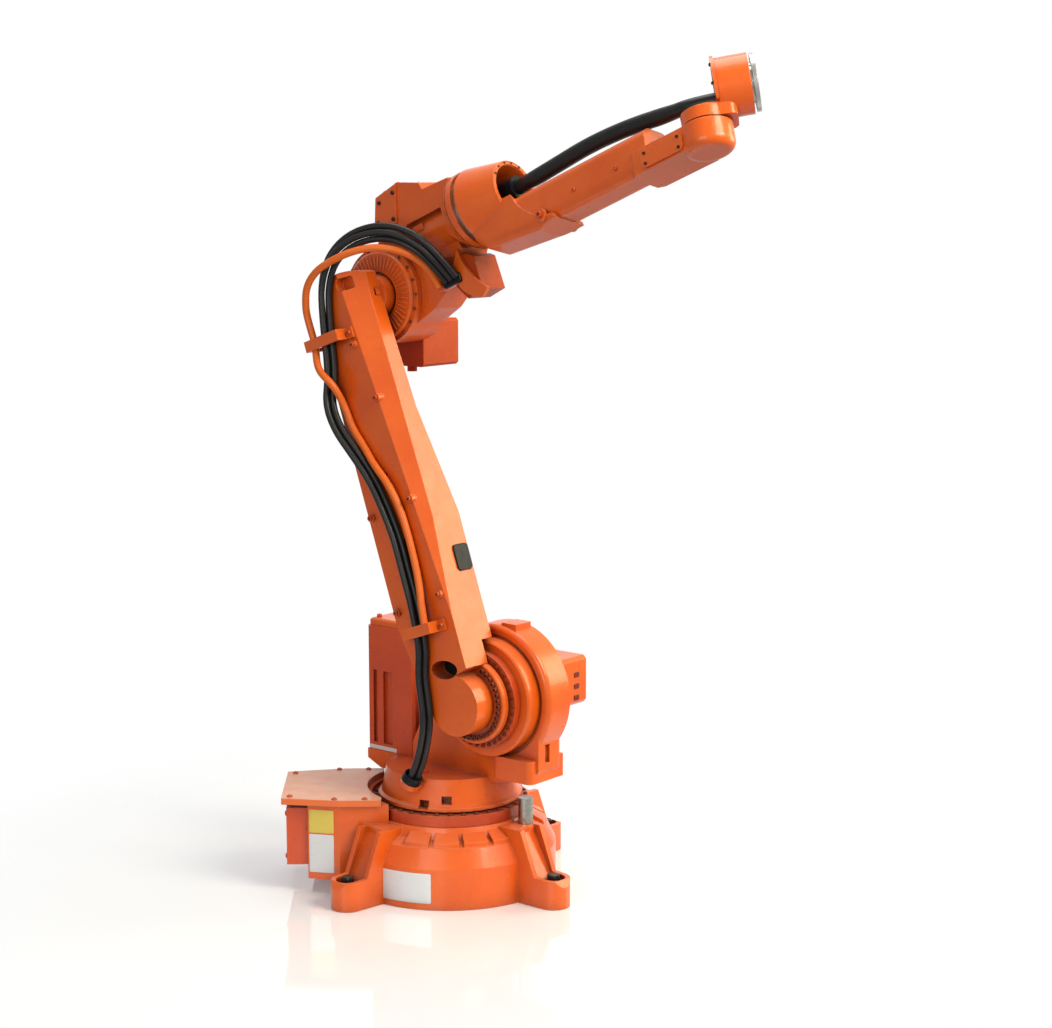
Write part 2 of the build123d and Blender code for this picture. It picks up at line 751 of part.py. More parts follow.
over = bundle * math.sin(math.radians(stack_angle)) + cable_radius + orange_radius + 1.3
under_strap = arm_outer - 30 + orange_radius + seat_gap
strap_out = lift_off - under_strap
hose_arm = [(-2, under_strap, grip_low + 2), up_arm(2, 0.06, strap_out), up_arm(9, 0.16, over)]
hose_arm += [up_arm(11, 0.29, over), up_arm(7, 0.4, over), up_arm(-8, 0.49, over), up_arm(-38, 0.57, over)]
hose_arm += [up_arm(-64, 0.65, over), up_arm(-76, 0.75, over), up_arm(-97, 0.85, over)]
hose_arm += [up_arm(-104, 0.93, strap_out), (-102, under_strap, grip_high - 2)]
keep("arm_hose", shoulder, cord(hose_arm, orange_radius))
from_clamp = [(-102, under_strap, grip_high + 2), (-105, under_strap, above_grip)]
hose_loop = in_frame(shoulder, elbow, from_clamp)
hose_loop += [(-92, lift_off - over + 8, 18), (-66, lift_off - over, 52), (-26, lift_off - over, 73)]
hose_loop += [(20, -188, 80), (66, -172, 82), (110, -146, 72), (146, -114, 42), (165, -76, -2)]
hose_loop += [(168, -53.7, -42)]
keep("elbow_hose", elbow, cord(hose_loop, orange_radius))

for name, shape in sorted(built.items()):
    box = shape.bounding_box()
    print(name, round(shape.volume / 1000), "cm3", [round(v) for v in (*box.min, *box.max)])
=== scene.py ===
import math

import bpy
import numpy as np
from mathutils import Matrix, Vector


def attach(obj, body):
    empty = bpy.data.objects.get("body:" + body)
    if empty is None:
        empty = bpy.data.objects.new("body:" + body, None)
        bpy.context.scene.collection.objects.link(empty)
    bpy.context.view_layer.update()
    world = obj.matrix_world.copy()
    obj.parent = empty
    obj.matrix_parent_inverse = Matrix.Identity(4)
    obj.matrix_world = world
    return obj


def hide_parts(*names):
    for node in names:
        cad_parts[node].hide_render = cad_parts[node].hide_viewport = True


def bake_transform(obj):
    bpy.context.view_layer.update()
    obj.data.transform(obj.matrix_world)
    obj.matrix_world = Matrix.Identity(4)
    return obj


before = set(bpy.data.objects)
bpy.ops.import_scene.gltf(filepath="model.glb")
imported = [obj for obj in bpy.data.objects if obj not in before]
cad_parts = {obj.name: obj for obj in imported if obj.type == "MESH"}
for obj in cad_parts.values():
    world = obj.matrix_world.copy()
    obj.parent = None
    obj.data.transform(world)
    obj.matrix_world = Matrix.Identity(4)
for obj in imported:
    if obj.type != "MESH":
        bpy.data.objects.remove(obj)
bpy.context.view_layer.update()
print("frame loaded:", len(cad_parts), "nodes")

# the photographed pose: angles in degrees, lengths in millimetres
pose = {
    "heading": -41.0,
    "lean": -19.4,
    "lift": 22.2,
    "roll": -14.0,
    "bend": 36.0,
    "axis2": (150.0, 0.0, 445.0),
    "armLength": 900.0,
    "elbowOffset": 87.0,
    "foreLength": 902.0,
}


# right-handed turn about one axis, as a 4 x 4 array
def turned(axis, degrees):
    a = math.radians(degrees)
    i, j = {"x": (1, 2), "y": (2, 0), "z": (0, 1)}[axis]
    m = np.eye(4)
    m[i, i] = m[j, j] = math.cos(a)
    m[i, j] = -math.sin(a)
    m[j, i] = math.sin(a)
    return m


def shifted(x, y, z):
    m = np.eye(4)
    m[:3, 3] = x, y, z
    return m


floorLink = np.eye(4)
turnLink = turned("z", pose["heading"])
armLink = turnLink @ shifted(*pose["axis2"]) @ turned("y", pose["lean"])
elbowLink = armLink @ shifted(0, 0, pose["armLength"]) @ turned("y", -pose["lift"] - pose["lean"])
foreLink = elbowLink @ shifted(0, 0, pose["elbowOffset"]) @ turned("x", pose["roll"])
wristLink = foreLink @ shifted(pose["foreLength"], 0, 0) @ turned("z", pose["bend"])


# millimetres in a link's frame to metres in the row frame
def toRow(link, points):
    p = np.asarray(points, float)
    return (p @ link[:3, :3].T + link[:3, 3]) / 1000


def unit(v):
    return v / np.linalg.norm(v, axis=-1, keepdims=True)


shot = {"place": (0.0099, -4.8228, 1.5835), "aim": (0.1639, -0.1443, 0.8439), "lens": 76.44}
camera = bpy.data.objects.new("shotCamera", bpy.data.cameras.new("shotCamera"))
bpy.context.scene.collection.objects.link(camera)
camera.data.sensor_width = 36
camera.data.lens = shot["lens"]
camera.location = shot["place"]
camera.rotation_euler = (Vector(shot["aim"]) - Vector(shot["place"])).to_track_quat("-Z", "Y").to_euler()
bpy.context.scene.camera = camera
print("camera placed")


# node helpers: a node with its fixed values, and a wire between two sockets
def addNode(tree, kind, **values):
    node = tree.nodes.new(kind)
    for key, value in values.items():
        if hasattr(node, key):
            setattr(node, key, value)
        else:
            node.inputs[key].default_value = value
    return node


def wire(tree, a, b):
    tree.links.new(a, b)


def newGroup(name, inputs, outputs):
    group = bpy.data.node_groups.new(name, "ShaderNodeTree")
    for label, kind, value in inputs:
        socket = group.interface.new_socket(label, in_out="INPUT", socket_type="NodeSocket" + kind)
        if value is not None:
            socket.default_value = value
    for label, kind in outputs:
        group.interface.new_socket(label, in_out="OUTPUT", socket_type="NodeSocket" + kind)
    return group, group.nodes.new("NodeGroupInput"), group.nodes.new("NodeGroupOutput")


def mathNode(tree, operation, a, b, clamp=False):
    node = addNode(tree, "ShaderNodeMath", operation=operation, use_clamp=clamp)
    for k, value in enumerate((a, b)):
        if isinstance(value, (int, float)):
            node.inputs[k].default_value = value
        else:
            wire(tree, value, node.inputs[k])
    return node.outputs[0]


def mixColour(tree, factor, a, b):
    node = addNode(tree, "ShaderNodeMix", data_type="RGBA")
    for socket, value in ((node.inputs[0], factor), (node.inputs[6], a), (node.inputs[7], b)):
        if isinstance(value, tuple):
            socket.default_value = value
        else:
            wire(tree, value, socket)
    return node.outputs[2]


def noiseFac(tree, coords, scale, detail=2.0, rough=0.5):
    node = addNode(tree, "ShaderNodeTexNoise", Scale=scale, Detail=detail, Roughness=rough)
    wire(tree, coords, node.inputs["Vector"])
    return node.outputs[0]


def ranged(tree, value, low, high, outLow=0.0, outHigh=1.0):
    node = addNode(tree, "ShaderNodeMapRange")
    wire(tree, value, node.inputs[0])
    for k, v in enumerate((low, high, outLow, outHigh)):
        node.inputs[k + 1].default_value = v
    return node.outputs[0]


# soft edges: rounded normal at sharp edges, and a mask that is 1 where it departs from the true one
edgeGroup, gIn, gOut = newGroup(
    "softEdge",
    [("Radius", "Float", 0.002)],
    [("Normal", "Vector"), ("Edge", "Float")],
)
bevel = addNode(edgeGroup, "ShaderNodeBevel", samples=4)
wire(edgeGroup, gIn.outputs["Radius"], bevel.inputs["Radius"])
geometry = addNode(edgeGroup, "ShaderNodeNewGeometry")
dot = addNode(edgeGroup, "ShaderNodeVectorMath", operation="DOT_PRODUCT")
wire(edgeGroup, bevel.outputs[0], dot.inputs[0])
wire(edgeGroup, geometry.outputs["Normal"], dot.inputs[1])
wire(edgeGroup, bevel.outputs[0], gOut.inputs["Normal"])
wire(edgeGroup, ranged(edgeGroup, dot.outputs["Value"], 0.99, 0.86), gOut.inputs["Edge"])

# enamel over a casting: broad tone drift, painted shade in corners and recesses, worn pale edges,
# dust on what faces up, which at high amounts also paints a pale sheen on top faces, and an orange-peel
# height
skinGroup, gIn, gOut = newGroup(
    "enamelSkin",
    [
        ("Coords", "Vector", None),
        ("Edge", "Float", 0.0),
        ("Colour", "Color", (1, 1, 1, 1)),
        ("Deep", "Color", (1, 1, 1, 1)),
        ("PaintedShade", "Color", (1, 1, 1, 1)),
        ("Pale", "Color", (1, 1, 1, 1)),
        ("Grit", "Float", 160.0),
        ("Wear", "Float", 0.4),
        ("Dust", "Float", 0.2),
    ],
    [("Colour", "Color"), ("Roughness", "Float"), ("Height", "Float")],
)
t = skinGroup
coords = gIn.outputs["Coords"]
drift = ranged(t, noiseFac(t, coords, 7.0, 3.0), 0.35, 0.7)
blotch = ranged(t, noiseFac(t, coords, 46.0, 4.0, 0.6), 0.48, 0.75)
colour = mixColour(t, mathNode(t, "MULTIPLY", drift, 0.55), gIn.outputs["Colour"], gIn.outputs["Deep"])
colour = mixColour(t, mathNode(t, "MULTIPLY", blotch, 0.22), colour, gIn.outputs["Deep"])
# painted shade: corners and recesses found by ambient occlusion are darkened towards a dark copy of the
# deep tone
shadeOcclusion = addNode(t, "ShaderNodeAmbientOcclusion", samples=4, Distance=0.07)
corner = ranged(t, shadeOcclusion.outputs["AO"], 0.8, 0.2, 0.0, 0.92)
uneven = ranged(t, noiseFac(t, coords, 18.0, 3.0), 0.2, 0.7, 0.65, 1.0)
corner = mathNode(t, "MULTIPLY", corner, uneven, True)
colour = mixColour(t, corner, colour, gIn.outputs["PaintedShade"])
patchy = ranged(t, noiseFac(t, coords, 90.0, 3.0, 0.7), 0.35, 0.65)
worn = mathNode(t, "MULTIPLY", gIn.outputs["Edge"], patchy)
worn = mathNode(t, "MULTIPLY", worn, gIn.outputs["Wear"], True)
colour = mixColour(t, worn, colour, gIn.outputs["Pale"])
facing = addNode(t, "ShaderNodeNewGeometry")
split = addNode(t, "ShaderNodeSeparateXYZ")
wire(t, facing.outputs["Normal"], split.inputs[0])
# faces that point up turn pale: partly real dust, partly painted sheen, since on the lid this mix paints
# the overhead reflection on its top
dustAndSheenMask = mathNode(t, "MULTIPLY", ranged(t, split.outputs["Z"], 0.45, 1.0), gIn.outputs["Dust"])
patches = ranged(t, noiseFac(t, coords, 24.0, 4.0), 0.25, 0.75, 0.5, 1.0)
dustAndSheenMask = mathNode(t, "MULTIPLY", dustAndSheenMask, patches, True)
colour = mixColour(t, dustAndSheenMask, colour, (0.92, 0.68, 0.52, 1))
wire(t, colour, gOut.inputs["Colour"])
rough = ranged(t, noiseFac(t, coords, 60.0, 3.0), 0.3, 0.7, 0.27, 0.4)
rough = mathNode(t, "ADD", rough, mathNode(t, "MULTIPLY", dustAndSheenMask, 0.5))
wire(t, mathNode(t, "ADD", rough, mathNode(t, "MULTIPLY", worn, 0.2)), gOut.inputs["Roughness"])
gritNoise = addNode(t, "ShaderNodeTexNoise", Detail=2.0)
wire(t, coords, gritNoise.inputs["Vector"])
wire(t, gIn.outputs["Grit"], gritNoise.inputs["Scale"])
peel = mathNode(t, "MULTIPLY", noiseFac(t, coords, 620.0, 1.0), 0.3)
wire(t, mathNode(t, "ADD", gritNoise.outputs[0], peel), gOut.inputs["Height"])

# rubber sheath: scuffs drawn out along the cord, patchy sheen and a fine grain
sheathGroup, gIn, gOut = newGroup(
    "sheathSkin",
    [
        ("Along", "Vector", None),
        ("Colour", "Color", (0, 0, 0, 1)),
        ("Scuff", "Color", (1, 1, 1, 1)),
        ("Amount", "Float", 0.3),
    ],
    [("Colour", "Color"), ("Roughness", "Float"), ("Height", "Float")],
)
t = sheathGroup
stretch = addNode(t, "ShaderNodeMapping")
stretch.inputs["Scale"].default_value = (9.0, 5.0, 1.0)
wire(t, gIn.outputs["Along"], stretch.inputs["Vector"])
streak = ranged(t, noiseFac(t, stretch.outputs[0], 3.0, 5.0, 0.65), 0.5, 0.78)
scuffed = mathNode(t, "MULTIPLY", streak, gIn.outputs["Amount"])
wire(t, mixColour(t, scuffed, gIn.outputs["Colour"], gIn.outputs["Scuff"]), gOut.inputs["Colour"])
sheen = ranged(t, noiseFac(t, stretch.outputs[0], 8.0, 3.0), 0.3, 0.7, 0.28, 0.46)
wire(t, sheen, gOut.inputs["Roughness"])
grain = addNode(t, "ShaderNodeMapping")
grain.inputs["Scale"].default_value = (420.0, 30.0, 1.0)
wire(t, gIn.outputs["Along"], grain.inputs["Vector"])
wire(t, noiseFac(t, grain.outputs[0], 1.0, 2.0), gOut.inputs["Height"])

# bare steel: fine tool lines drawn out along the given coordinates, with a little tarnish
steelGroup, gIn, gOut = newGroup(
    "turnedSteel",
    [
        ("Lines", "Vector", None),
        ("Coords", "Vector", None),
        ("Colour", "Color", (1, 1, 1, 1)),
        ("Tarnish", "Color", (0, 0, 0, 1)),
    ],
    [("Colour", "Color"), ("Roughness", "Float"), ("Height", "Float")],
)
t = steelGroup
lines = noiseFac(t, gIn.outputs["Lines"], 1.0, 3.0, 0.6)
stain = ranged(t, noiseFac(t, gIn.outputs["Coords"], 55.0, 4.0), 0.45, 0.75)
toned = mixColour(t, ranged(t, lines, 0.3, 0.7, 0.0, 0.35), gIn.outputs["Colour"], gIn.outputs["Tarnish"])
stained = mixColour(t, mathNode(t, "MULTIPLY", stain, 0.3), toned, gIn.outputs["Tarnish"])
wire(t, stained, gOut.inputs["Colour"])
wire(t, ranged(t, lines, 0.3, 0.7, 0.22, 0.4), gOut.inputs["Roughness"])
wire(t, lines, gOut.inputs["Height"])


def placeGroup(tree, group, **values):
    node = tree.nodes.new("ShaderNodeGroup")
    node.node_tree = group
    for key, value in values.items():
        node.inputs[key].default_value = value
    return node


def newMaterial(name, bumpDepth, **principled):
    material = bpy.data.materials.new(name)
    material.use_nodes = True
    tree = material.node_tree
    shader = tree.nodes["Principled BSDF"]
    for key, value in principled.items():
        shader.inputs[key.replace("_", " ")].default_value = value
    bump = addNode(tree, "ShaderNodeBump", Strength=1.0, Distance=bumpDepth)
    wire(tree, bump.outputs[0], shader.inputs["Normal"])
    return material, tree, shader, bump


def finishSkin(tree, skin, shader, bump):
    wire(tree, skin.outputs["Colour"], shader.inputs["Base Color"])
    wire(tree, skin.outputs["Roughness"], shader.inputs["Roughness"])
    wire(tree, skin.outputs["Height"], bump.inputs["Height"])


# the first value sets how dark the painted corner shade is, as a share of the deep tone
paintedShadeShare, dullSpecular = 0.3, 0.16


def enamel(name, colour, deep, pale, grit, depth, wear, dustAndSheen, radius, coat):
    gloss = {"Coat_Weight": coat, "Coat_Roughness": 0.12, "Specular_IOR_Level": 0.42}
    material, tree, shader, bump = newMaterial(name, depth, **gloss)
    paintedShadeTone = tuple(paintedShadeShare * c for c in deep[:3]) + (1,)
    place = addNode(tree, "ShaderNodeTexCoord")
    edge = placeGroup(tree, edgeGroup, Radius=radius)
    tones = {"Colour": colour, "Deep": deep, "PaintedShade": paintedShadeTone, "Pale": pale}
    skin = placeGroup(tree, skinGroup, **tones, Grit=grit, Wear=wear, Dust=dustAndSheen)
    wire(tree, place.outputs["Object"], skin.inputs["Coords"])
    wire(tree, edge.outputs["Edge"], skin.inputs["Edge"])
    wire(tree, edge.outputs["Normal"], bump.inputs["Normal"])
    finishSkin(tree, skin, shader, bump)
    return material


def sheath(name, colour, scuff, amount, depth):
    material, tree, shader, bump = newMaterial(name, depth, Specular_IOR_Level=0.34)
    along = addNode(tree, "ShaderNodeUVMap", uv_map="along")
    skin = placeGroup(tree, sheathGroup, Colour=colour, Scuff=scuff, Amount=amount)
    wire(tree, along.outputs[0], skin.inputs["Along"])
    finishSkin(tree, skin, shader, bump)
    return material


# tool lines: coordinates turned into the link's frame and stretched by one scale for each direction
def steel(name, colour, tarnish, link, stretch, depth):
    material, tree, shader, bump = newMaterial(name, depth, Metallic=1.0)
    place = addNode(tree, "ShaderNodeTexCoord")
    turn = addNode(tree, "ShaderNodeMapping", vector_type="TEXTURE")
    turn.inputs["Location"].default_value = link[:3, 3] / 1000
    m = link[:3, :3]
    turn.inputs["Rotation"].default_value = (
        math.atan2(m[2, 1], m[2, 2]),
        -math.asin(max(-1.0, min(1.0, m[2, 0]))),
        math.atan2(m[1, 0], m[0, 0]),
    )
    scaled = addNode(tree, "ShaderNodeMapping")
    scaled.inputs["Scale"].default_value = stretch
    edge = placeGroup(tree, edgeGroup, Radius=0.0008)
    skin = placeGroup(tree, steelGroup, Colour=colour, Tarnish=tarnish)
    wire(tree, place.outputs["Object"], turn.inputs["Vector"])
    wire(tree, turn.outputs[0], scaled.inputs["Vector"])
    wire(tree, scaled.outputs[0], skin.inputs["Lines"])
    wire(tree, place.outputs["Object"], skin.inputs["Coords"])
    wire(tree, edge.outputs["Normal"], bump.inputs["Normal"])
    finishSkin(tree, skin, shader, bump)
    return material


orange = (0.86, 0.136, 0.007, 1)
deepOrange = (0.7, 0.076, 0.004, 1)
paleOrange = (0.95, 0.42, 0.18, 1)
castPaint = enamel(
    "castPaint", orange, deepOrange, paleOrange,
    grit=210.0, depth=0.0003, wear=0.5, dustAndSheen=0.1, radius=0.003, coat=0.35,
)
sheetPaint = enamel(
    "sheetPaint", (0.86, 0.142, 0.008, 1), deepOrange, paleOrange,
    grit=380.0, depth=0.00015, wear=0.6, dustAndSheen=0.12, radius=0.0015, coat=0.4,
)
# the lid's high amount of the pale upward mix paints a sheen on its top, the reflection of overhead light,
# over some dust
lidPaint = enamel(
    "lidPaint", (0.87, 0.18, 0.03, 1), (0.78, 0.12, 0.016, 1), paleOrange,
    grit=380.0, depth=0.00015, wear=0.5, dustAndSheen=0.72, radius=0.002, coat=0.5,
)
motorPaint = enamel(
    "motorPaint", (0.7, 0.078, 0.007, 1), (0.52, 0.044, 0.005, 1), paleOrange,
    grit=300.0, depth=0.0002, wear=0.5, dustAndSheen=0.1, radius=0.002, coat=0.3,
)
# painted shade: a darker, uncoated copy of the orange enamel, standing in for the shade motor 3 and the
# terminal box sit in
paintedShadePaint = enamel(
    "paintedShadePaint", (0.52, 0.064, 0.008, 1), (0.34, 0.036, 0.006, 1), paleOrange,
    grit=300.0, depth=0.0003, wear=0.4, dustAndSheen=0.05, radius=0.002, coat=0.0,
)
ringPaint = enamel(
    "ringPaint", (0.66, 0.072, 0.007, 1), (0.3, 0.028, 0.005, 1), paleOrange,
    grit=260.0, depth=0.0002, wear=0.7, dustAndSheen=0.1, radius=0.0015, coat=0.2,
)
plasticBlack = enamel(
    "glandBlack", (0.008, 0.011, 0.018, 1), (0.005, 0.006, 0.01, 1), (0.05, 0.055, 0.07, 1),
    grit=420.0, depth=0.0001, wear=0.4, dustAndSheen=0.03, radius=0.0012, coat=0.0,
)
plateWhite = enamel(
    "plateWhite", (0.77, 0.8, 0.86, 1), (0.68, 0.7, 0.75, 1), (0.5, 0.46, 0.42, 1),
    grit=260.0, depth=0.00004, wear=0.3, dustAndSheen=0.1, radius=0.0006, coat=0.3,
)
plateCream = enamel(
    "plateCream", (0.8, 0.63, 0.11, 1), (0.72, 0.54, 0.09, 1), (0.55, 0.46, 0.36, 1),
    grit=260.0, depth=0.00004, wear=0.3, dustAndSheen=0.1, radius=0.0006, coat=0.3,
)
boltBlack = enamel(
    "boltBlack", (0.02, 0.019, 0.018, 1), (0.01, 0.01, 0.01, 1), (0.2, 0.17, 0.14, 1),
    grit=500.0, depth=0.0001, wear=0.6, dustAndSheen=0.05, radius=0.0006, coat=0.1,
)
boltPaint = enamel(
    "boltPaint", (0.66, 0.078, 0.008, 1), (0.4, 0.05, 0.008, 1), paleOrange,
    grit=500.0, depth=0.0001, wear=0.7, dustAndSheen=0.1, radius=0.0006, coat=0.2,
)
boltShade = enamel(
    "boltShade", (0.2, 0.026, 0.009, 1), (0.09, 0.014, 0.006, 1), (0.6, 0.18, 0.07, 1),
    grit=500.0, depth=0.0001, wear=0.6, dustAndSheen=0.05, radius=0.0006, coat=0.15,
)
for dull in (plasticBlack, boltBlack, paintedShadePaint):
    dull.node_tree.nodes["Principled BSDF"].inputs["Specular IOR Level"].default_value = dullSpecular
cableRubber = sheath(
    "cableRubber", (0.012, 0.0125, 0.015, 1), (0.09, 0.095, 0.1, 1), amount=0.35, depth=0.00012
)
hoseRubber = sheath(
    "hoseRubber", (0.009, 0.009, 0.01, 1), (0.07, 0.07, 0.072, 1), amount=0.3, depth=0.0001
)
orangeRubber = sheath(
    "orangeRubber", (0.82, 0.15, 0.015, 1), (0.88, 0.38, 0.15, 1), amount=0.45, depth=0.00012
)
pinSteel = steel(
    "pinSteel", (0.42, 0.41, 0.38, 1), (0.2, 0.19, 0.17, 1),
    link=floorLink, stretch=(30.0, 30.0, 900.0), depth=0.00008,
)
ringSteel = steel(
    "ringSteel", (0.62, 0.6, 0.56, 1), (0.35, 0.33, 0.3, 1),
    link=foreLink, stretch=(900.0, 40.0, 40.0), depth=0.00006,
)
flangeSteel = steel(
    "flangeSteel", (0.66, 0.66, 0.65, 1), (0.38, 0.38, 0.37, 1),
    link=wristLink, stretch=(1200.0, 60.0, 60.0), depth=0.00006,
)

nodePaint = {
    "box_lid": lidPaint,
    "connector_panel": motorPaint,
    "bearing_ring": ringPaint,
    "stop_pin": pinSteel,
    "shoulder_gear_ring": ringPaint,
    "axis1_motor": motorPaint,
    "axis1_motor_cap": sheetPaint,
    "axis2_motor": castPaint,
    # motor 3 and the terminal box get the darker copy of the orange, which paints their shade
    "axis3_motor": paintedShadePaint,
    "cable_plate": sheetPaint,
    "lower_clamp": sheetPaint,
    "upper_clamp": sheetPaint,
    "rear_cover": sheetPaint,
    "terminal_box": paintedShadePaint,
    "cable_bracket": sheetPaint,
    "axis4_bearing": ringSteel,
    "hose_gland": plasticBlack,
    "wrist_covers": sheetPaint,
    "tilt_rear_plate": sheetPaint,
    "tool_flange": flangeSteel,
}
for nodeName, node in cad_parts.items():
    paint = nodePaint.get(nodeName, castPaint)
    if not node.material_slots:
        node.data.materials.append(paint)
    for held in node.material_slots:
        held.material = paint
print("paint on", len(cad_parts), "CAD nodes")


# a piece from grids of points (copies, rows, columns, 3) in metres:
# columns close round, rows end in caps or, with "wrap", close too
def gridPiece(name, grid, material, wrap=False, lengths=None, sharp=35):
    grid = np.asarray(grid, float)
    copies, rows, cols = grid.shape[:3]
    r, c = np.arange(rows if wrap else rows - 1)[:, None], np.arange(cols)[None]
    after, beyond = (c + 1) % cols, (r + 1) % rows
    quads = np.stack([r * cols + c, r * cols + after, beyond * cols + after, beyond * cols + c], -1)
    quads = quads.reshape(-1, 4)
    p = grid[0].reshape(-1, 3) - grid[0].reshape(-1, 3).mean(0)
    q = p[quads]
    volume = np.einsum("ij,ij", q[:, 0], np.cross(q[:, 1], q[:, 2]) + np.cross(q[:, 2], q[:, 3]))
    order = [0, 1, 2, 3] if volume > 0 else [3, 2, 1, 0]
    offsets = np.arange(copies) * rows * cols
    faces = (offsets[:, None, None] + quads[:, order]).reshape(-1, 4).tolist()
    if not wrap:
        first, last = np.arange(cols), (rows - 1) * cols + np.arange(cols)
        ends = (first[::-1], last) if volume > 0 else (first, last[::-1])
        for end in ends:
            faces += (offsets[:, None] + end).tolist()
    mesh = bpy.data.meshes.new(name)
    mesh.from_pydata(grid.reshape(-1, 3).tolist(), [], faces)
    if lengths is not None:  # pattern coordinates: metres along in u, turns round in v
        turnsRound = np.broadcast_to(np.arange(cols + 1) / cols, (rows, cols + 1))
        metres = np.broadcast_to(np.asarray(lengths)[:, None], (rows, cols + 1))
        uv = np.stack([metres, turnsRound], -1)
        corner = np.stack([uv[:-1, :-1], uv[:-1, 1:], uv[1:, 1:], uv[1:, :-1]], 2)
        corner = corner.reshape(-1, 4, 2)[:, order]
        flat = np.zeros((len(mesh.loops), 2))
        flat[: copies * corner.shape[0] * 4] = np.tile(corner.reshape(-1, 2), (copies, 1))
        mesh.uv_layers.new(name="along").data.foreach_set("uv", flat.ravel())
    mesh.polygons.foreach_set("use_smooth", np.ones(len(mesh.polygons), bool))
    mesh.set_sharp_from_angle(angle=math.radians(sharp))
    mesh.materials.append(material)
    mesh.validate()
    obj = bpy.data.objects.new(name, mesh)
    bpy.context.scene.collection.objects.link(obj)
    return obj


# smooth NURBS line with the route's points as control points, read back as points along it
def centreLine(name, points):
    curve = bpy.data.curves.new(name, "CURVE")
    curve.dimensions = "3D"
    spline = curve.splines.new("NURBS")
    spline.points.add(len(points) - 1)
    spline.points.foreach_set("co", np.c_[points, np.ones(len(points))].ravel())
    spline.order_u = 3
    spline.use_endpoint_u = True
    spline.resolution_u = 14
    holder = bpy.data.objects.new(name, curve)
    bpy.context.scene.collection.objects.link(holder)
    bpy.context.view_layer.update()
    mesh = bpy.data.meshes.new_from_object(holder)
    line = np.zeros(len(mesh.vertices) * 3)
    mesh.vertices.foreach_get("co", line)
    bpy.data.objects.remove(holder)
    bpy.data.meshes.remove(mesh)
    return line.reshape(-1, 3)


# a circle carried along the line: point = line + radius (cos v times n + sin v times b),
# n being the part of "across" that is square to the line and b square to both
def tubeGrid(line, radius, across, sides=20):
    along = unit(np.gradient(line, axis=0))
    n = unit(across - (along @ across)[:, None] * along)
    b = np.cross(along, n)
    v = np.linspace(0, 2 * np.pi, sides, endpoint=False)
    ring = np.cos(v)[None, :, None] * n[:, None] + np.sin(v)[None, :, None] * b[:, None]
    return line[:, None] + radius * ring


# one of three strands: moved sideways in the side view, square to the run from the point before
# to the one after, by the pitch times the cosine of an angle, and the middle one raised off the arm
# by the pitch times its sine
def strandRoute(points, side, first, last):
    p = np.asarray(points, float)
    k = np.arange(len(p))
    run = unit((p[np.minimum(k + 1, len(p) - 1)] - p[np.maximum(k - 1, 0)])[:, [0, 2]])
    rise = np.radians(first + (last - first) * k / (len(p) - 1))
    shift = side * bundle["pitch"] * np.cos(rise)
    out = (1 - abs(side)) * bundle["pitch"] * np.sin(rise)
    return p + np.c_[shift * run[:, 1], -out, -shift * run[:, 0]]


sleeveRise = {"start": 0.1, "length": 0.06}  # metres from either end


# "sleeve" thickens the cord by so many millimetres over its open span, rising smoothly from either end;
# "bendFrom" is not used
def cordPiece(
    name, node, link, points, radius, material, slot, bodies, stiffness, lay, sleeve=0.0, bendFrom=0.1
):
    route = toRow(link, points)
    line = centreLine(name + "Line", route)
    lengths = np.r_[0, np.cumsum(np.linalg.norm(np.diff(line, axis=0), axis=1))]
    fromEnd = np.minimum(lengths, lengths[-1] - lengths)
    ease = np.clip((fromEnd - sleeveRise["start"]) / sleeveRise["length"], 0, 1)
    thick = (radius + sleeve * ease * ease * (3 - 2 * ease)) / 1000
    grid = tubeGrid(line, thick[:, None, None], link[:3, 1])[None]
    tube = gridPiece(name, grid, material, lengths=lengths)
    if len(bodies) == 2:
        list(bodies)
        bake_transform(tube)
    else:
        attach(tube, bodies[0])
    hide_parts(node)


# cable spans: control points in millimetres, each route in the frame of the link beside it in "spans"
gripLow, gripHigh, liftOff, lowX, seatGap = 172.0, 827.0, -169.0, -30.0, 0.3
bundle = {"radius": 7.0, "pitch": 15.2, "stack": 57.0}
spanLength = gripHigh - gripLow


def upArm(x, share, out=0.0):
    return (x, liftOff - out, gripLow + share * spanLength)


def between(link, home, points):
    m = np.linalg.inv(home) @ link
    return (np.asarray(points, float) @ m[:3, :3].T + m[:3, 3]).tolist()


entryLink = turnLink @ shifted(28, -156, 262) @ turned("y", 31.0)
shoulderRoute = between(entryLink, turnLink, [(0, 0, seatGap), (0, 0, 38)])
shoulderRoute += [(74, -166, 356), (85, liftOff - 1, 408), (77, liftOff, 454)]
lowerEnd = [(-57, liftOff, 84), (lowX - 4.6, liftOff, 132), (lowX, liftOff, gripLow - seatGap)]
shoulderRoute += between(armLink, turnLink, lowerEnd)
armRoute = [(lowX, liftOff, gripLow + seatGap), upArm(-24, 0.08), upArm(-25, 0.195), upArm(-24, 0.307)]
armRoute += [upArm(-35, 0.417), upArm(-50, 0.516), upArm(-73, 0.615, 8), upArm(-95, 0.707, 17)]
armRoute += [upArm(-104, 0.798, 15), upArm(-89, 0.88, 3), upArm(-79, 0.9465)]
armRoute += [(-72, liftOff, gripHigh - seatGap)]
fromClamp = [(-72, liftOff, gripHigh + seatGap), (-60.2, liftOff, gripHigh + 59)]
elbowRoute = between(armLink, elbowLink, fromClamp)
elbowRoute += [(-40, liftOff, 46), (2, liftOff + 2, 92), (64, -154, 113), (132, -130, 103)]
elbowRoute += [(182, -110, 64), (204, -84, 12), (206, -52.4, -38)]
shoulderEnds, elbowEnds = ("turning_frame", "lower_arm"), ("lower_arm", "upper_arm")
hoseEnds = ("forearm", "tilt_house")
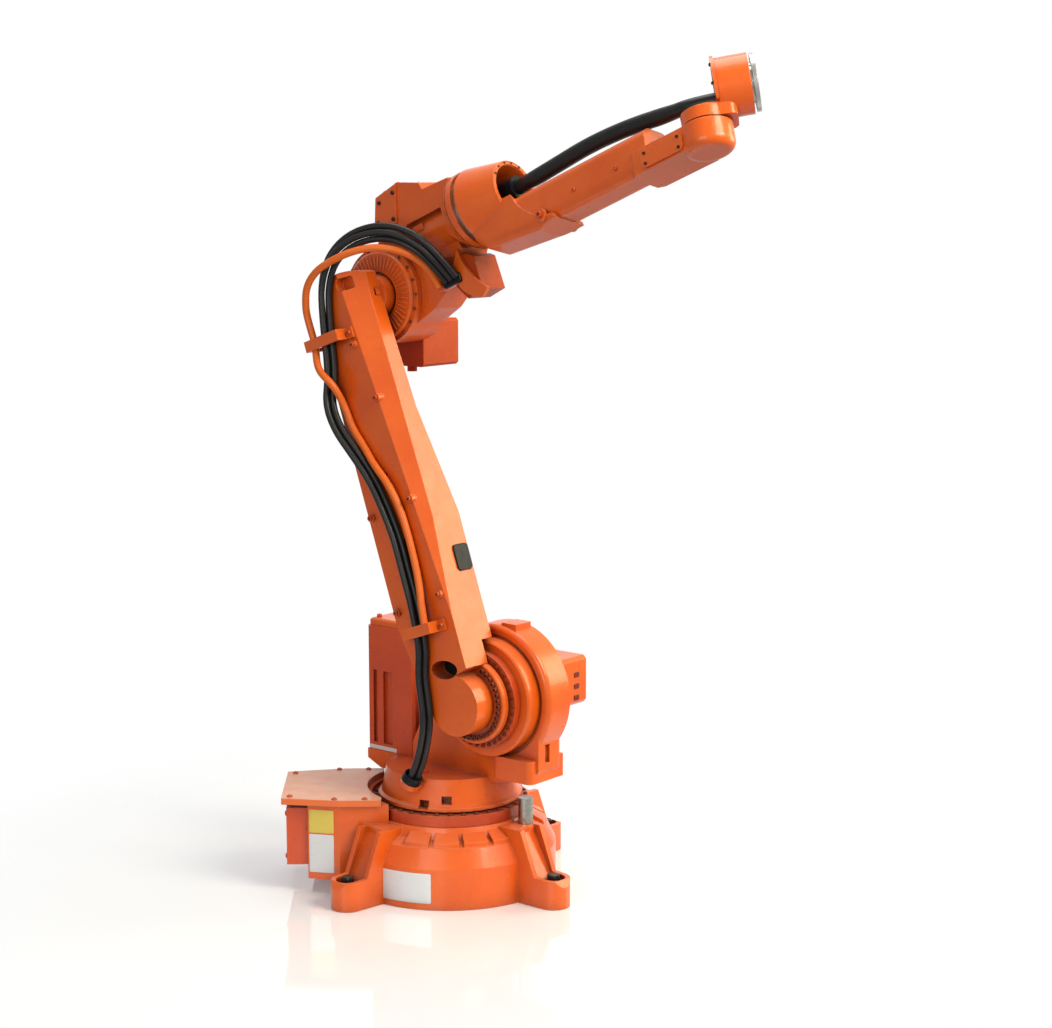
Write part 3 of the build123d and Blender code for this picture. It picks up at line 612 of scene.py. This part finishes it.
spans = (
    ("shoulderCable", "shoulder_cables", turnLink, shoulderRoute, bundle["stack"], shoulderEnds, "loose"),
    ("armCable", "arm_cables", armLink, armRoute, bundle["stack"], ("lower_arm",), "taut"),
    ("elbowCable", "elbow_cables", elbowLink, elbowRoute, 0.0, elbowEnds, "loose"),
)
for name, node, link, route, last, bodies, lay in spans:
    for k, side in enumerate((-1, 0, 1)):
        strand = strandRoute(route, side, bundle["stack"], last)
        strandName, thick = name + str(k + 1), bundle["radius"]
        cordPiece(strandName, node, link, strand, thick, cableRubber, "cable", bodies, "medium", lay)

hoseRadius, hoseGap, underStrap = 8.0, 1.3, -181.7
over = bundle["pitch"] * math.sin(math.radians(bundle["stack"])) + bundle["radius"] + hoseRadius + hoseGap
strapOut = liftOff - underStrap
armHose = [(-2, underStrap, gripLow + 2), upArm(2, 0.06, strapOut), upArm(7, 0.16, 3), upArm(9, 0.29, 1)]
armHose += [upArm(6, 0.4, 1), upArm(-6, 0.49, 6), upArm(-34, 0.56, 2), upArm(-51, 0.63), upArm(-70, 0.7)]
armHose += [upArm(-76, 0.78), upArm(-70, 0.85, 24), upArm(-87, 0.9, 35), upArm(-102, 0.945, 23)]
armHose += [(-102, underStrap, gripHigh - 2)]
fromStrap = [(-102, underStrap, gripHigh + 2), (-105, underStrap, gripHigh + 59)]
elbowHose = between(armLink, elbowLink, fromStrap)
elbowHose += [(-92, liftOff - over + 8, 18), (-66, liftOff - over, 52), (-26, liftOff - over, 73)]
elbowHose += [(20, -188, 80), (66, -172, 82), (112, -146, 74), (156, -112, 46), (174, -70, 0)]
elbowHose += [(168, -53.7, -42)]
hoses = (
    ("armHose", "arm_hose", armLink, armHose, ("lower_arm",), "taut"),
    ("elbowHose", "elbow_hose", elbowLink, elbowHose, elbowEnds, "loose"),
)
for name, node, link, route, bodies, lay in hoses:
    cordPiece(name, node, link, route, hoseRadius, orangeRubber, "orange_hose", bodies, "medium", lay)

hubFront, processRadius = 399.0, 15.0
wristTurn = between(wristLink, foreLink, [(-20, 2, -22), (48, 0, -22)])
processHose = [(hubFront - 86, 0, 0), (hubFront + 36, 0, 0), (hubFront + 120, 0, 5)]
processHose += [(hubFront + 215, 0, 11), (hubFront + 320, 0, 5), (hubFront + 415, 2, -9)] + wristTurn
slack = {"stiffness": "stiff", "lay": "loose", "sleeve": 2.0, "bendFrom": 0.12}
cordPiece(
    "processHose", "process_hose", foreLink, processHose, processRadius,
    hoseRubber, "hose", hoseEnds, **slack,
)
print("cables, hoses laid")

# screw forms: rows of (share of the radius, share of the height, 1 where the row is a hexagon)
screwForms = {
    "socket": [
        (0.5, 0.4, 1), (0.5, 0.97, 1), (0.58, 1, 0), (0.88, 1, 0),
        (1, 0.86, 0), (1, 0, 0), (1, -0.15, 0),
    ],
    "button": [
        (0.4, 0.5, 1), (0.4, 0.96, 1), (0.48, 1, 0), (0.8, 0.8, 0),
        (0.95, 0.42, 0), (1, 0, 0), (1, -0.3, 0),
    ],
    "hex": [
        (0.35, 1, 0), (0.8, 1, 0), (0.98, 0.86, 1), (1, 0.3, 1),
        (1.02, 0.28, 0), (1.34, 0.26, 0), (1.36, 0, 0), (1.36, -0.1, 0),
    ],
}


# screws: each row is a circle or a hexagon round the screw's own axis, set at every spot at once;
# a hexagon's radius is the flat's distance over the cosine of the angle from the flat's middle
def screwSet(name, link, body, material, form, across, tall, spots, normals, sides=24):
    rows = np.array(screwForms[form])
    v = np.linspace(0, 2 * np.pi, sides, endpoint=False)
    hexagon = math.cos(math.pi / 6) / np.cos(v % (math.pi / 3) - math.pi / 6)
    radius = across / 2 * rows[:, :1] * np.where(rows[:, 2:] > 0, hexagon, 1.0)
    height = tall * rows[:, 1:2] + 0 * v
    spots = np.atleast_2d(np.asarray(spots, float))
    n = unit(np.broadcast_to(np.asarray(normals, float), spots.shape))
    helper = np.where(np.abs(n[:, 2:]) < 0.9, [[0.0, 0, 1]], [[1.0, 0, 0]])
    e1 = unit(np.cross(n, helper))
    e2 = np.cross(n, e1)
    grid = spots[:, None, None] + (radius * np.cos(v))[None, :, :, None] * e1[:, None, None]
    grid = grid + (radius * np.sin(v))[None, :, :, None] * e2[:, None, None]
    grid = grid + height[None, :, :, None] * n[:, None, None]
    piece = gridPiece(name, toRow(link, grid), material, sharp=30)
    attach(piece, body)


# spots on a circle about a link's axis: angle 0 along the first direction, 90 along the second
def circleSpots(centre, radius, angles, first, second):
    a = np.radians(np.asarray(angles, float))[:, None]
    ring = np.cos(a) * np.asarray(first, float) + np.sin(a) * np.asarray(second, float)
    return np.asarray(centre, float) + radius * ring


xDir, yDir, zDir = np.eye(3)
footSpots = [(sx * 221.0, sy * 204.0, 50.0) for sx in (-1, 1) for sy in (-1, 1)]
screwSet("footBolts", floorLink, "base", boltBlack, "hex", 31.0, 19.0, footSpots, zDir)
ringSpots = circleSpots((0, 0, 190), 167.0, np.arange(0, 360, 10), xDir, yDir)
screwSet("baseRingBolts", floorLink, "base", boltShade, "socket", 9.0, 4.0, ringSpots, zDir)
lidSpots = [(x, s * y, 215.0) for x, y in ((-350, 94), (-252, 121), (-186, 121)) for s in (-1, 1)]
screwSet("lidScrews", floorLink, "base", boltPaint, "button", 13.0, 4.0, lidSpots, zDir)
panelSpots = [(-358.0, y, z) for y in (-82, 82) for z in (78, 174)]
screwSet("panelScrews", floorLink, "base", boltPaint, "button", 12.0, 4.0, panelSpots, -xDir)

shoulderCentre = np.array(pose["axis2"])
gearSpots = circleSpots(shoulderCentre - 84 * yDir, 99.5, np.arange(0, 360, 10), xDir, zDir)
screwSet("gearRingBolts", turnLink, "turning_frame", boltShade, "socket", 8.5, 3.6, gearSpots, -yDir)
capSpots = [(x, y, 565.0) for x in (-211, -110) for y in (2, 104)]
screwSet("motorCapScrews", turnLink, "turning_frame", boltPaint, "socket", 12.0, 7.0, capSpots, zDir)
motor2Spots = [(150.0 + sx * 36, 234.0, 441.0 + sz * 40) for sx in (-1, 1) for sz in (-1, 1)]
screwSet("motor2Screws", turnLink, "turning_frame", boltPaint, "socket", 12.0, 7.0, motor2Spots, yDir)

flangeSpots = circleSpots((0, -105, 0), 79.0, np.arange(-172, 46, 9), xDir, zDir)
screwSet("shoulderFlangeBolts", armLink, "lower_arm", boltShade, "socket", 11.0, 7.0, flangeSpots, -yDir)
bosses = ((16, 675), (35, 447), (45, 236), (-88, 434), (-86, 223), (-10, 800))
bossSpots = [(x, -167.0, z) for x, z in bosses]
screwSet("bossBolts", armLink, "lower_arm", boltPaint, "socket", 12.0, 5.0, bossSpots, -yDir)
clampSpots = [(31.0, -166.0, 172.0), (-11.0, -166.0, 827.0)]
screwSet("clampScrews", armLink, "lower_arm", boltPaint, "button", 11.0, 5.0, clampSpots, -yDir)

housingSpots = circleSpots((0, -48, 0), 100.5, np.arange(0, 360, 18), xDir, zDir)
screwSet("elbowRingBolts", elbowLink, "upper_arm", boltShade, "button", 7.0, 3.0, housingSpots, -yDir)
coverSpots = [(x, -50.0, z) for x, z in ((54, 147), (73, 186), (118, 192), (99, 139))]
screwSet("rearCoverScrews", elbowLink, "upper_arm", boltBlack, "button", 10.0, 4.0, coverSpots, -yDir)
elbowTop, slope = pose["elbowOffset"] + 114, (-0.115, 0, 0.993)
topSpots = [(x, y, elbowTop + 8 * (x - 64) / 69) for x in (80, 118) for y in (-26, 40)]
screwSet("elbowTopBolts", elbowLink, "upper_arm", boltPaint, "socket", 13.0, 7.0, topSpots, slope)

mouthSpots = circleSpots((hubFront, 0, 0), 60.0, np.arange(-66, 67, 22), zDir, yDir)
screwSet("hubMouthScrews", foreLink, "forearm", boltShade, "button", 6.0, 2.6, mouthSpots, xDir)
tubeSpots = [(x, sy * 41.0, -88.0) for x in (587, 700) for sy in (-1, 1)]
tubeNormals = [(0, sy, 0) for x in (587, 700) for sy in (-1, 1)]
screwSet("tubeScrews", foreLink, "forearm", boltPaint, "button", 9.0, 4.0, tubeSpots, tubeNormals)
signs = [(sx, sy, sz) for sx in (-1, 1) for sy in (-1, 1) for sz in (-1, 1)]
wristSpots = [(824.0 + sx * 42, sy * 51.0, -103.0 + sz * 11) for sx, sy, sz in signs]
wristNormals = [(0, sy, 0) for sx, sy, sz in signs]
screwSet("wristCoverScrews", foreLink, "forearm", boltBlack, "button", 7.0, 3.0, wristSpots, wristNormals)
knobSpots = [(hubFront + 100, sy * 52.0, -110.0) for sy in (-1, 1)]
screwSet("knobBolts", foreLink, "forearm", boltPaint, "socket", 14.0, 6.0, knobSpots, [-yDir, yDir])
lipSpots = circleSpots((27, 0, 0), 54.0, (-100, -50, 0, 50, 100), zDir, yDir)
screwSet("lipScrews", wristLink, "tilt_house", boltBlack, "button", 7.0, 3.0, lipSpots, -xDir)
print("screws set")


# rounded rectangle: a quarter circle at each corner with straight sides, walked in even steps of its length
def roundedOutline(width, height, corner, count=96):
    a = np.linspace(0, np.pi / 2, 7)
    loop = []
    for k, (sx, sy) in enumerate(((1, 1), (-1, 1), (-1, -1), (1, -1))):
        q = a + k * np.pi / 2
        x = sx * (width / 2 - corner) + corner * np.cos(q)
        y = sy * (height / 2 - corner) + corner * np.sin(q)
        loop.append(np.c_[x, y])
    loop = np.vstack(loop + [loop[0][:1]])
    walked = np.r_[0, np.cumsum(np.linalg.norm(np.diff(loop, axis=0), axis=1))]
    even = np.linspace(0, walked[-1], count, endpoint=False)
    return np.c_[np.interp(even, walked, loop[:, 0]), np.interp(even, walked, loop[:, 1])]


# plate: rows shrink inwards from a rounded rectangle, the outermost turned down over the edge;
# "lay" bends it onto its seat, "sunk" sets its rim below that
def plateGrid(size, corner, thick, lay, edge=0.6, sunk=0.6):
    x, y = roundedOutline(*size, corner).T
    brim = 1 - 2 * edge / min(size)
    rise = [(0.03, thick), (0.4, thick), (0.75, thick), (brim, thick)]
    rise += [(1, thick * 0.6), (1, 0.0), (1, -sunk)]
    return np.array([lay(share * x, share * y, level) for share, level in rise])[None]


def flatSeat(centre, across, upward):
    e1, e2 = unit(np.asarray(across, float)), unit(np.asarray(upward, float))
    n = np.cross(e1, e2)
    return lambda u, v, level: np.asarray(centre, float) + u[:, None] * e1 + v[:, None] * e2 + level * n


# seat on the bowl: u runs round the wall as an arc, v up it
def bowlSeat(angle, radius, level0):
    def lay(u, v, level):
        a = math.radians(angle) + u / radius
        return np.c_[(radius + level) * np.cos(a), (radius + level) * np.sin(a), level0 + v]

    return lay


def plate(name, link, body, material, size, corner, thick, lay):
    piece = gridPiece(name, toRow(link, plateGrid(size, corner, thick, lay)), material, sharp=30)
    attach(piece, body)


boxAlong, boxFace = np.array([70.0, -18.0, 0.0]), (-281.0, -111.7)
plate("basePlate", floorLink, "base", plateWhite, (128, 66), 2.0, 0.8, bowlSeat(-116.0, 235.0, 47.5))
upperSeat = flatSeat((*boxFace, 163), boxAlong, zDir)
plate("boxPlateUpper", floorLink, "base", plateCream, (56, 52), 2.0, 0.8, upperSeat)
lowerSeat = flatSeat((*boxFace, 91), boxAlong, zDir)
plate("boxPlateLower", floorLink, "base", plateWhite, (56, 86), 2.0, 0.8, lowerSeat)
stripSeat = flatSeat((-183, -20, 269), xDir, zDir)
plate("motorStrip", turnLink, "turning_frame", plateWhite, (82, 9), 1.0, 0.8, stripSeat)
badgeSeat = flatSeat((62, -82, 302), yDir, zDir)
plate("armBadge", armLink, "lower_arm", plasticBlack, (46, 58), 9.0, 4.0, badgeSeat)
for k, level in enumerate((404, 430, 456)):
    lay = flatSeat((200, 199, level), yDir, zDir)
    plate("motor2Cover" + str(k + 1), turnLink, "turning_frame", boltShade, (18, 12), 3.0, 1.6, lay)
shoeSeat = flatSeat((204, -46, -40), xDir, zDir)
plate("cableShoe", elbowLink, "upper_arm", plasticBlack, (52, 22), 5.0, 6.0, shoeSeat)

# painted shade: a black sheet in the oval window, standing in for the shade deep in its pocket: an ellipse
# shrunk row by row to its middle, set just above the pocket's bottom
window = {"centre": (0.0, -116.0, 79.0), "half": (36.7, 19.7), "turn": -11.0, "thick": 0.8}
a = np.linspace(0, 2 * np.pi, 64, endpoint=False)
e1 = np.array([math.cos(math.radians(window["turn"])), 0, math.sin(math.radians(window["turn"]))])
e2 = np.cross(e1, yDir)
oval = np.cos(a)[:, None] * window["half"][0] * e1 + np.sin(a)[:, None] * window["half"][1] * e2
rise = ((0.03, 1.0), (0.6, 1.0), (0.97, 1.0), (1.0, 0.5), (1.0, -0.4))
grid = np.array([window["centre"] + share * oval - level * window["thick"] * yDir for share, level in rise])
windowShadePiece = gridPiece("windowShadeSheet", toRow(armLink, grid[None]), boltBlack, sharp=30)
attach(windowShadePiece, "lower_arm")
print("plates set")

# ribs on the elbow ring: a low rounded profile carried outwards along each radius
ribs = {"count": 48, "inner": 57.0, "outer": 89.0, "ramp": 3.0, "face": -58.0}
profile = np.array([(-1.6, 0.6), (-1.5, -1.8), (-0.8, -2.6), (0.8, -2.6), (1.5, -1.8), (1.6, 0.6)])
turns = np.radians(np.arange(ribs["count"]) * 360 / ribs["count"])
outward = np.c_[np.cos(turns), 0 * turns, np.sin(turns)]
sideways = np.c_[-np.sin(turns), 0 * turns, np.cos(turns)]
reach = np.array([ribs["inner"], ribs["inner"] + ribs["ramp"], ribs["outer"] - ribs["ramp"], ribs["outer"]])
swell = np.array([0.45, 1.0, 1.0, 0.45])
grid = reach[None, :, None, None] * outward[:, None, None]
grid = grid + profile[None, None, :, :1] * sideways[:, None, None]
grid = grid + (ribs["face"] + swell[:, None] * profile[None, :, 1])[None, :, :, None] * yDir
ribPiece = gridPiece("elbowRibs", toRow(elbowLink, grid), castPaint, sharp=30)
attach(ribPiece, "upper_arm")

# gland: rows of (radius, height) turned round a line beside the entry's axis, closed on themselves
gland = {
    "rows": [(16.6, -1), (16.6, 13), (18, 15), (20.5, 15), (21.5, 13), (21.5, 4), (22.4, 3), (22.4, -1)],
    "aside": -4.2,
    "sides": 40,
}
radius, height = np.array(gland["rows"]).T[:, :, None]
a = np.linspace(0, 2 * np.pi, gland["sides"], endpoint=False)
grid = np.stack([radius * np.cos(a), radius * np.sin(a) + gland["aside"], height + 0 * a], -1)
glandPiece = gridPiece("entryGland", toRow(entryLink, grid[None]), plasticBlack, wrap=True)
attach(glandPiece, "turning_frame")
print("ribs, gland set")

# floor, light and backdrop
stageLook = {
    "half": 6.0,
    "drop": 0.0006,
    "floor": (0.84, 0.87, 0.95, 1),
    "floorRough": 0.06,
    "floorIor": 1.9,
    "fade": (0.5, 1.3),  # metres from the middle
    "world": 0.2,
    "mirror": 0.35,
    "glow": 0.12,
    "aim": (0.1, -0.1, 0.8),  # what the lamps point at
}
half, drop = stageLook["half"], stageLook["drop"]
corners = [(-half, -half, -drop), (half, -half, -drop), (half, half, -drop), (-half, half, -drop)]
floorMesh = bpy.data.meshes.new("paleFloor")
floorMesh.from_pydata(corners, [], [(0, 1, 2, 3)])
floor = bpy.data.objects.new("paleFloor", floorMesh)
bpy.context.scene.collection.objects.link(floor)
floorMaterial = bpy.data.materials.new("paleFloor")
floorMaterial.use_nodes = True
tree = floorMaterial.node_tree
floorShader = tree.nodes["Principled BSDF"]
floorShader.inputs["Base Color"].default_value = stageLook["floor"]
floorShader.inputs["Roughness"].default_value = stageLook["floorRough"]
floorShader.inputs["IOR"].default_value = stageLook["floorIor"]
floorShader.inputs["Emission Color"].default_value = (1, 1, 1, 1)
floorShader.inputs["Emission Strength"].default_value = stageLook["glow"]
spread = addNode(tree, "ShaderNodeVectorMath", operation="LENGTH")
wire(tree, addNode(tree, "ShaderNodeTexCoord").outputs["Object"], spread.inputs[0])
wire(tree, ranged(tree, spread.outputs["Value"], *stageLook["fade"], 1.0, 0.0), floorShader.inputs["Alpha"])
floorMesh.materials.append(floorMaterial)

lamps = {
    "keyLamp": {"place": (2.7, -2.2, 3.4), "size": (2.0, 2.0), "power": 160.0, "tint": (1.0, 0.93, 0.7)},
    "sideLamp": {"place": (3.1, 0.4, 1.8), "size": (1.3, 2.0), "power": 54.0, "tint": (1.0, 0.88, 0.58)},
    "fillLamp": {"place": (-1.6, -4.2, 1.8), "size": (2.4, 2.4), "power": 62.0, "tint": (1.0, 0.95, 0.84)},
    "topLamp": {"place": (0.2, 0.5, 4.2), "size": (2.6, 2.6), "power": 66.0, "tint": (1.0, 0.97, 0.88)},
}
for name, spec in lamps.items():
    light = bpy.data.lights.new(name, "AREA")
    light.energy = spec["power"]
    light.color = spec["tint"]
    light.shape = "RECTANGLE"
    light.size, light.size_y = spec["size"]
    lamp = bpy.data.objects.new(name, light)
    lamp.location = spec["place"]
    sight = Vector(stageLook["aim"]) - Vector(spec["place"])
    lamp.rotation_euler = sight.to_track_quat("-Z", "Y").to_euler()
    bpy.context.scene.collection.objects.link(lamp)

world = bpy.data.worlds.new("paleWorld")
bpy.context.scene.world = world
world.use_nodes = True
tree = world.node_tree
back = tree.nodes["Background"]
back.inputs["Color"].default_value = (1, 1, 1, 1)
path = addNode(tree, "ShaderNodeLightPath")
seen = mathNode(tree, "MAXIMUM", path.outputs["Is Camera Ray"], path.outputs["Is Transmission Ray"])
# mirrored: white behind the object, dimmer all round it
split = addNode(tree, "ShaderNodeSeparateXYZ")
wire(tree, addNode(tree, "ShaderNodeTexCoord").outputs["Generated"], split.inputs[0])
behind = ranged(tree, split.outputs["Y"], 0.75, 0.95, stageLook["mirror"], 1.0)
seen = mathNode(tree, "MAXIMUM", seen, mathNode(tree, "MULTIPLY", path.outputs["Is Glossy Ray"], behind))
wire(tree, ranged(tree, seen, 0.0, 1.0, stageLook["world"], 1.0), back.inputs["Strength"])
bpy.context.scene.view_settings.view_transform = "Standard"
print("stage set")
